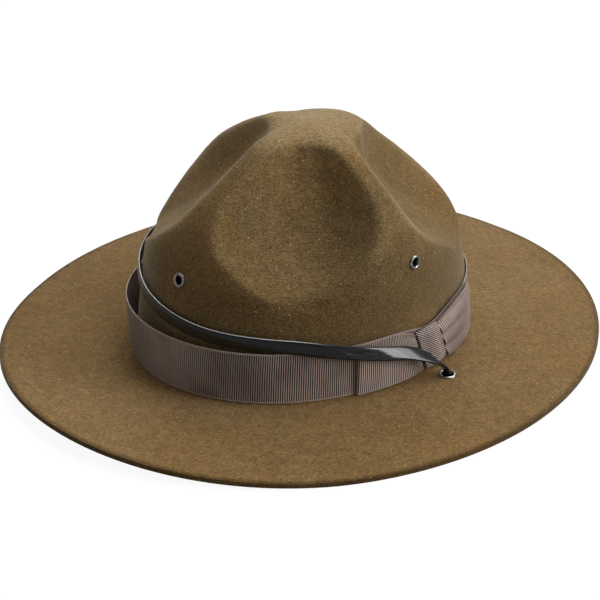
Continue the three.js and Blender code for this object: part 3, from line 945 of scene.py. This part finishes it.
def spin_ring(name, ring, inner_seat):
    """A pressed metal ring at the origin, its outside up."""
    hole, barrel, flange = ring.values()
    top = FLANGE_SEAT + FLANGE_THICKNESS
    bottom = -FELT_THICKNESS - inner_seat - FLANGE_THICKNESS
    small = flange - 0.4
    outline = [
        (hole, bottom + 0.3),
        (hole + 0.3, bottom),
        (small - 0.3, bottom + 0.1),
        (small, bottom + 0.4),
        (small - 0.2, bottom + FLANGE_THICKNESS),
        (barrel, bottom + FLANGE_THICKNESS),
        (barrel, FLANGE_SEAT),
        (flange - 0.15, FLANGE_SEAT),
        (flange, FLANGE_SEAT + 0.15),
        (flange - 0.12, FLANGE_SEAT + 0.42),
        (flange - 0.5, top - 0.1),
        (hole + 0.75, top),
        (hole + 0.3, top - 0.12),
        (hole, top - 0.5),
    ]
    points = [Vector((radius * MM, 0, height * MM)) for radius, height in outline]
    piece = loft(name, [points])
    bpy.ops.object.mode_set(mode="EDIT")
    bpy.ops.mesh.select_all(action="SELECT")
    bpy.ops.mesh.spin(steps=RING_TURNS, angle=2 * math.pi, center=(0, 0, 0), axis=(0, 0, 1))
    bpy.ops.object.mode_set(mode="OBJECT")
    recalculate(piece, weld=0.001)
    finish_mesh(piece, 50)
    return piece


def stand_copy(model, name, centre, axis):
    """A copy of a ring with its own mesh, stood in its hole."""
    piece = model.copy()
    piece.data = model.data.copy()
    piece.name = name
    scene.collection.objects.link(piece)
    piece.data.transform(stand_on(centre, axis))
    return piece


vent_model = spin_ring("vent_model", VENT_RING, 0.5)
eyelet_model = spin_ring("eyelet_model", EYELET_RING, 0.35)
rings = {}
for name, (ring, centre, axis) in holes.items():
    model = vent_model if ring is VENT_RING else eyelet_model
    rings[name] = stand_copy(model, name + "_metal", centre, axis)
for model in (vent_model, eyelet_model):
    bpy.data.objects.remove(model)
print("rings:", sorted(rings))

# %% [markdown]
# ## Finishes
# Every finish is a net of procedural nodes, so it has its detail at the real scale and needs no
# picture. An effect that more than one finish needs is made once, as a group of nodes.
#
# Cloudy wear is the slow change of tone that felt, ribbon, leather and metal all show from dye
# and handling. It is a noise of a given size, so one group serves all four.

# %% Group: cloudy wear
wear_group, wear_in, wear_out = new_group(
    "cloudy_wear",
    [("Place", "NodeSocketVector", (0, 0, 0)), ("Size", "NodeSocketFloat", 0.02)],
    [("Tone", "NodeSocketFloat")],
)
wear_scale = reckon(wear_group, "DIVIDE", 1.0, wear_in.outputs["Size"])
wear_noise = noise(wear_group, wear_in.outputs["Place"], wear_scale, 3.0, Roughness=0.55)
wear_tone = map_range(wear_group, wear_noise, 0.3, 0.7)
wear_group.links.new(wear_tone, wear_out.inputs["Tone"])


def cloudy(tree, place, size):
    """The tone of cloudy wear at a place, with clouds of a size in metres."""
    return use_group(tree, wear_group, {"Place": place, "Size": size})["Tone"]


print("made", wear_group.name)

# %% [markdown]
# Felt is a mat of fine fur. Close up it is a fine grain of short fibres, brushed one way, and here
# and there a pale speck catches the light. The crown has kept its olive dye, the brim is a little
# browner with a russet cast in places, and painted shade darkens it towards its cut edge. The peak
# and the ridges are paler, partly from wear where the hat is held and partly as a painted highlight.
# Pointiness finds the ridges: it is high where a surface bulges. Low on the crown, over the left of
# the brow, painted shade darkens the felt. Sheen on the shader gives the pale line that the nap
# shows where the felt turns away. Each pair of numbers is where a change begins and ends, the
# heights in metres.

# %% Felt
felt_material, tree, shader = new_material(
    "fur_felt",
    Roughness=0.95,
    Specular_IOR_Level=0.12,
    Sheen_Weight=0.5,
    Sheen_Roughness=0.3,
    Sheen_Tint=(1.0, 0.9, 0.7, 1.0),
)
OLIVE = (0.170, 0.112, 0.048, 1)
BROWN = (0.210, 0.122, 0.042, 1)
PALE_WEAR_AND_HIGHLIGHT = (0.42, 0.30, 0.15, 1)
PALE_DYE = (0.268, 0.168, 0.068, 1)
DEEP_DYE_AND_SHADE = (0.125, 0.080, 0.032, 1)
RUSSET = (0.225, 0.122, 0.036, 1)
SPECK = (0.55, 0.46, 0.32, 1)
SPECK_SIZE = 0.0021
FIBRE_TURN = math.radians(46)
FIBRE_STRETCH = 2.4
OLIVE_HEIGHT = (0.008, 0.04)
PEAK_HEIGHT = (0.122, 0.134)
RIDGE_HEIGHT = (0.078, 0.092)
RIDGE_BULGE = (0.505, 0.54)
SHADE_BROW = (0.085, 0.125)
SHADE_LOW = (0.02, 0.035)
SHADE_HIGH = (0.063, 0.078)
EDGE_SHADE = (0.955, 0.995)

place = object_place(tree)
brush = {"Vector": place, "Rotation": (0, 0, FIBRE_TURN), "Scale": (FIBRE_STRETCH, 1, 1)}
brushed = add_node(tree, "ShaderNodeMapping", brush, vector_type="TEXTURE").outputs[0]
grain = noise(tree, brushed, 1500.0, Roughness=0.7)
fibres = noise(tree, brushed, 600.0, Distortion=2.0)
axes = axes_of(tree, place)
dye = mix_colours(tree, map_range(tree, axes["Z"], *OLIVE_HEIGHT), BROWN, OLIVE)
# The last row makes the peak paler: partly wear, partly a painted highlight.
for tone, low, high, most, tint in (
    (cloudy(tree, place, 0.035), 0, 1, 0.4, PALE_DYE),
    (cloudy(tree, place, 0.007), 0, 1, 0.4, DEEP_DYE_AND_SHADE),
    (cloudy(tree, place, 0.055), 0.2, 1, 0.35, RUSSET),
    (axes["Z"], *PEAK_HEIGHT, 0.5, PALE_WEAR_AND_HIGHLIGHT),
):
    dye = mix_colours(tree, map_range(tree, tone, low, high, 0, most), dye, tint)
# Paler ridges: partly wear where the hat is held, partly a painted highlight.
bulge = add_node(tree, "ShaderNodeNewGeometry").outputs["Pointiness"]
high_up = map_range(tree, axes["Z"], *RIDGE_HEIGHT)
ridge_wear_and_highlight = product(tree, map_range(tree, bulge, *RIDGE_BULGE, 0, 0.5), high_up)
dye = mix_colours(tree, ridge_wear_and_highlight, dye, PALE_WEAR_AND_HIGHLIGHT)
# Painted shade: the low crown over the left of the brow is darkened towards the deep dye colour.
brow = reckon(tree, "SUBTRACT", axes["X"], axes["Y"])
brow_shade = product(
    tree,
    map_range(tree, brow, *SHADE_BROW, 0, 0.6),
    map_range(tree, axes["Z"], *SHADE_LOW),
    map_range(tree, axes["Z"], *SHADE_HIGH, 1, 0),
)
dye = mix_colours(tree, brow_shade, dye, DEEP_DYE_AND_SHADE)

half_width = (CROWN[0]["side"] + BRIM_SIDES) * MM
half_length = (CROWN[0]["front"] + BRIM_ENDS) * MM
to_edge = {0: place, 1: (1 / half_width, 1 / half_length, 0)}
share = add_node(tree, "ShaderNodeVectorMath", to_edge, operation="MULTIPLY").outputs[0]
squared = add_node(tree, "ShaderNodeVectorMath", {0: share, 1: share}, operation="DOT_PRODUCT")
# The last factor darkens the brim towards its cut edge: painted shade.
shade = product(
    tree,
    map_range(tree, grain, 0.3, 0.72, 0.6, 1.4),
    map_range(tree, fibres, 0.3, 0.7, 0.8, 1.2),
    map_range(tree, squared.outputs["Value"], *EDGE_SHADE, 1.0, 0.55),
)
specks = add_node(tree, "ShaderNodeTexVoronoi", {"Vector": place, "Scale": 1 / SPECK_SIZE})
kept = axes_of(tree, specks.outputs["Color"])["X"]
spot = map_range(tree, specks.outputs["Distance"], 0.1, 0.24, 0.8, 0.0)
fleck = product(tree, spot, map_range(tree, kept, 0.84, 0.96))
colour = mix_colours(tree, fleck, scaled(tree, dye, shade), SPECK)
tree.links.new(colour, shader.inputs["Base Color"])
nap = reckon(tree, "ADD", grain, product(tree, fibres, 0.8))
add_bump(tree, shader, nap, 0.5, 0.0007)
print("felt nodes:", len(tree.nodes))

# %% [markdown]
# Grosgrain has thick threads across it, which stand up as close ribs. The ribs follow the ribbon
# however it is folded, so they are drawn along its own UV map, as a height and as a line of painted
# shade in each valley. Towards its two edges the ribbon ends in a thin pale selvedge. Where the band
# hangs open, its ribs are pressed flat and painted shade darkens it evenly.

# %% Group: ribs
ribs_group, ribs_in, ribs_out = new_group(
    "grosgrain_ribs",
    [("Along", "NodeSocketFloat", 0.0), ("Pitch", "NodeSocketFloat", 0.00125)],
    [("Height", "NodeSocketFloat"), ("Valley", "NodeSocketFloat")],
)
count = reckon(ribs_group, "DIVIDE", ribs_in.outputs["Along"], ribs_in.outputs["Pitch"])
angle = reckon(ribs_group, "MULTIPLY", count, math.pi)
ribs_height = reckon(ribs_group, "ABSOLUTE", reckon(ribs_group, "SINE", angle))
ribs_valley_shade = map_range(ribs_group, ribs_height, 0.5, 1.0, 1.0, 0.0)
ribs_group.links.new(ribs_height, ribs_out.inputs["Height"])
ribs_group.links.new(ribs_valley_shade, ribs_out.inputs["Valley"])
print("made", ribs_group.name)

# %% Ribbon
DULL_YARN = (0.30, 0.228, 0.205, 1)
FRESH_YARN = (0.54, 0.42, 0.37, 1)
VALLEY_SHADE = (0.006, 0.004, 0.0035, 1)
SELVEDGE = (0.46, 0.36, 0.31, 1)
SELVEDGE_WIDTH = 0.85
SELVEDGE_BLEND = 0.15
BAND_PRESSED = (0.33, 0.425)
PRESSED_BLEND = 0.03
PRESSED_SHARE = 0.8
PRESSED_VALLEY_SHADE = 0.15
PRESSED_SHADE = 0.38


def ribbon_finish(name, width=None, painted_light_gain=1.0, valley_shade_depth=1.0, pressed=None):
    """The ribbon's material, with a selvedge along both edges of a ribbon of this width.

    painted_light_gain brightens the yarn, painted light for a piece that catches more light. pressed
    is where, along the ribbon, its ribs are pressed flat and painted shade darkens it."""
    material, tree, shader = new_material(
        name,
        Roughness=0.42,
        Specular_IOR_Level=0.6,
        Sheen_Weight=0.3,
        Sheen_Roughness=0.3,
        Sheen_Tint=(1.0, 0.93, 0.88, 1.0),
    )
    cloth = add_node(tree, "ShaderNodeUVMap", uv_map="cloth").outputs["UV"]
    parts = axes_of(tree, cloth)
    ribs = use_group(tree, ribs_group, {"Along": parts["X"]})
    yarn = mix_colours(tree, cloudy(tree, object_place(tree), 0.03), DULL_YARN, FRESH_YARN)
    yarn = scaled(tree, yarn, painted_light_gain)
    # Painted shade: a near-black line in each rib valley, and an even darkening where the band is
    # pressed.
    dark = map_range(tree, ribs["Valley"], 0, 1, 0, valley_shade_depth)
    if pressed is not None:
        start, end = pressed
        begins = map_range(tree, parts["X"], start - PRESSED_BLEND, start, 0, PRESSED_SHARE)
        ends = map_range(tree, parts["X"], end, end + 2 * PRESSED_BLEND, 1, 0)
        flat = product(tree, begins, ends)
        dark = product(tree, dark, map_range(tree, flat, 0, 1, 1, PRESSED_VALLEY_SHADE))
        dark = reckon(tree, "ADD", dark, map_range(tree, flat, 0, 1, 0, PRESSED_SHADE))
    colour = mix_colours(tree, dark, yarn, VALLEY_SHADE)
    if width is not None:
        inner = (SELVEDGE_WIDTH + SELVEDGE_BLEND) * MM
        outer = (SELVEDGE_WIDTH - SELVEDGE_BLEND) * MM
        low_edge = map_range(tree, parts["Y"], outer, inner, 1, 0)
        high_edge = map_range(tree, parts["Y"], width * MM - inner, width * MM - outer)
        edge = reckon(tree, "MAXIMUM", low_edge, high_edge)
        colour = mix_colours(tree, edge, colour, SELVEDGE)
    tree.links.new(colour, shader.inputs["Base Color"])
    add_bump(tree, shader, ribs["Height"], 0.9, 0.0005)
    return material


# Each piece is the same ribbon made brighter by its own factor: painted light where it catches more
# light.
band_material = ribbon_finish("band_ribbon", BAND_WIDTH, painted_light_gain=1.15, pressed=BAND_PRESSED)
loop_material = ribbon_finish("bow_ribbon", RIBBON_WIDTH, painted_light_gain=1.55)
wing_material = ribbon_finish("wing_ribbon", RIBBON_WIDTH, painted_light_gain=1.35, valley_shade_depth=0.6)
wrap_material = ribbon_finish("wrap_ribbon", painted_light_gain=1.45)
print("ribbon finishes made")

# %% [markdown]
# The strap is black leather with a hard gloss. It is smooth where it lies on the crown and finely
# creased where it bends down to the eyelet, so lengthwise creases grow along that stretch of its UV
# map. A pale line along its upper edge, where it lies against the crown, is a painted highlight.

# %% Leather
BLACK = (0.002, 0.004, 0.004, 1)
WORN_BLACK = (0.006, 0.010, 0.010, 1)
EDGE_HIGHLIGHT = (0.85, 0.85, 0.83, 1)
HIGHLIGHT_TURNS = (-50, 60)
CREASED_TURNS = (52, 66, 96)


def strap_place(turn):
    """How far along the strap the place at a turn is, in metres."""
    nearest = min(
        range(len(strap_rings)),
        key=lambda index: abs(value_at(strap_table, "turn", index / STRAP_STEPS_PER_ROW) - turn),
    )
    return strap_along[nearest]


leather_material, tree, shader = new_material(
    "black_leather",
    Roughness=0.25,
    Specular_IOR_Level=0.2,
    Coat_Weight=0.6,
    Coat_Roughness=0.12,
)
cloth = add_node(tree, "ShaderNodeUVMap", uv_map="cloth").outputs["UV"]
parts = axes_of(tree, cloth)
along = parts["X"]
wear = cloudy(tree, object_place(tree), 0.015)
colour = mix_colours(tree, wear, BLACK, WORN_BLACK)
# Painted highlight: a near-white line along the upper edge over the front of the crown.
from_edge = reckon(tree, "ABSOLUTE", reckon(tree, "SUBTRACT", parts["Y"], UPPER_EDGE))
highlight_start, highlight_end = (strap_place(turn) for turn in HIGHLIGHT_TURNS)
edge_highlight = product(
    tree,
    map_range(tree, from_edge, 0.025, 0.065, 1.0, 0.0),
    map_range(tree, along, highlight_start, highlight_start + 0.05),
    map_range(tree, along, highlight_end - 0.02, highlight_end, 1, 0),
)
colour = mix_colours(tree, edge_highlight, colour, EDGE_HIGHLIGHT)
tree.links.new(colour, shader.inputs["Base Color"])
bend_start, bend_middle, bend_end = (strap_place(turn) for turn in CREASED_TURNS)
bending = product(
    tree,
    map_range(tree, along, bend_start, bend_middle),
    map_range(tree, along, bend_end - 0.01, bend_end, 1, 0),
)
pores = noise(tree, object_place(tree), 1100.0)
stretched = add_node(tree, "ShaderNodeMapping", {"Vector": cloth, "Scale": (230.0, 18.0, 1.0)})
creases = noise(tree, stretched.outputs[0], 1.0, 3.0, Roughness=0.65)
relief = product(tree, creases, map_range(tree, bending, 0, 1, 0.1, 2.8))
relief = reckon(tree, "ADD", relief, product(tree, pores, 0.1))
add_bump(tree, shader, relief, 0.9, 0.0006)
tree.links.new(map_range(tree, wear, 0, 1, 0.22, 0.36), shader.inputs["Roughness"])
print("creases from", round(bend_start, 3), "to", round(bend_end, 3), "m along the strap")

# %% [markdown]
# The rings are dull grey metal, a little tarnished, with fine marks from the press.

# %% Metal
TARNISHED = (0.26, 0.245, 0.23, 1)
POLISHED = (0.58, 0.56, 0.53, 1)

metal_material, tree, shader = new_material("pewter_metal", Metallic=1.0, Roughness=0.35)
wear = cloudy(tree, object_place(tree), 0.002)
colour = mix_colours(tree, wear, TARNISHED, POLISHED)
tree.links.new(colour, shader.inputs["Base Color"])
tree.links.new(map_range(tree, wear, 0, 1, 0.34, 0.2), shader.inputs["Roughness"])
add_bump(tree, shader, noise(tree, object_place(tree), 1800.0), 0.25, 0.0001)
print("metal nodes:", len(tree.nodes))

# %% [markdown]
# ## Riding on the frame
# Each piece takes its finish. The hat has one body, so every piece rides on it, and stands for its
# plain solid, which stays in the frame for collision. Only the sleeve on the strap needs no new
# piece: its solid has the right shape and takes the metal.

# %% Finish, ride and replace
PIECES = [
    (felt, felt_material, "felt_body", "felt"),
    (band, band_material, "hat_band", "ribbon"),
    (front_loop, loop_material, "bow_front_wing", "ribbon"),
    (wrap, wrap_material, "bow_knot", "ribbon"),
    (rear_loop, wing_material, "bow_rear_wing", "ribbon"),
    (strap, leather_material, "chin_strap", "leather"),
    *((piece, metal_material, node, "metal") for node, piece in rings.items()),
]


def dress(piece, finish):
    """Gives a piece its finish in place of any other."""
    piece.data.materials.clear()
    piece.data.materials.append(finish)


dress(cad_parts["strap_slide"], metal_material)
for piece, finish, node, slot_name in PIECES:
    dress(piece, finish)
    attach(piece, "root")
    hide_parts(node)
print("replaced nodes:", len(PIECES))

# %% [markdown]
# The band, the two loops and the wrap are sheets of cloth.

print("sheets of cloth: 4")
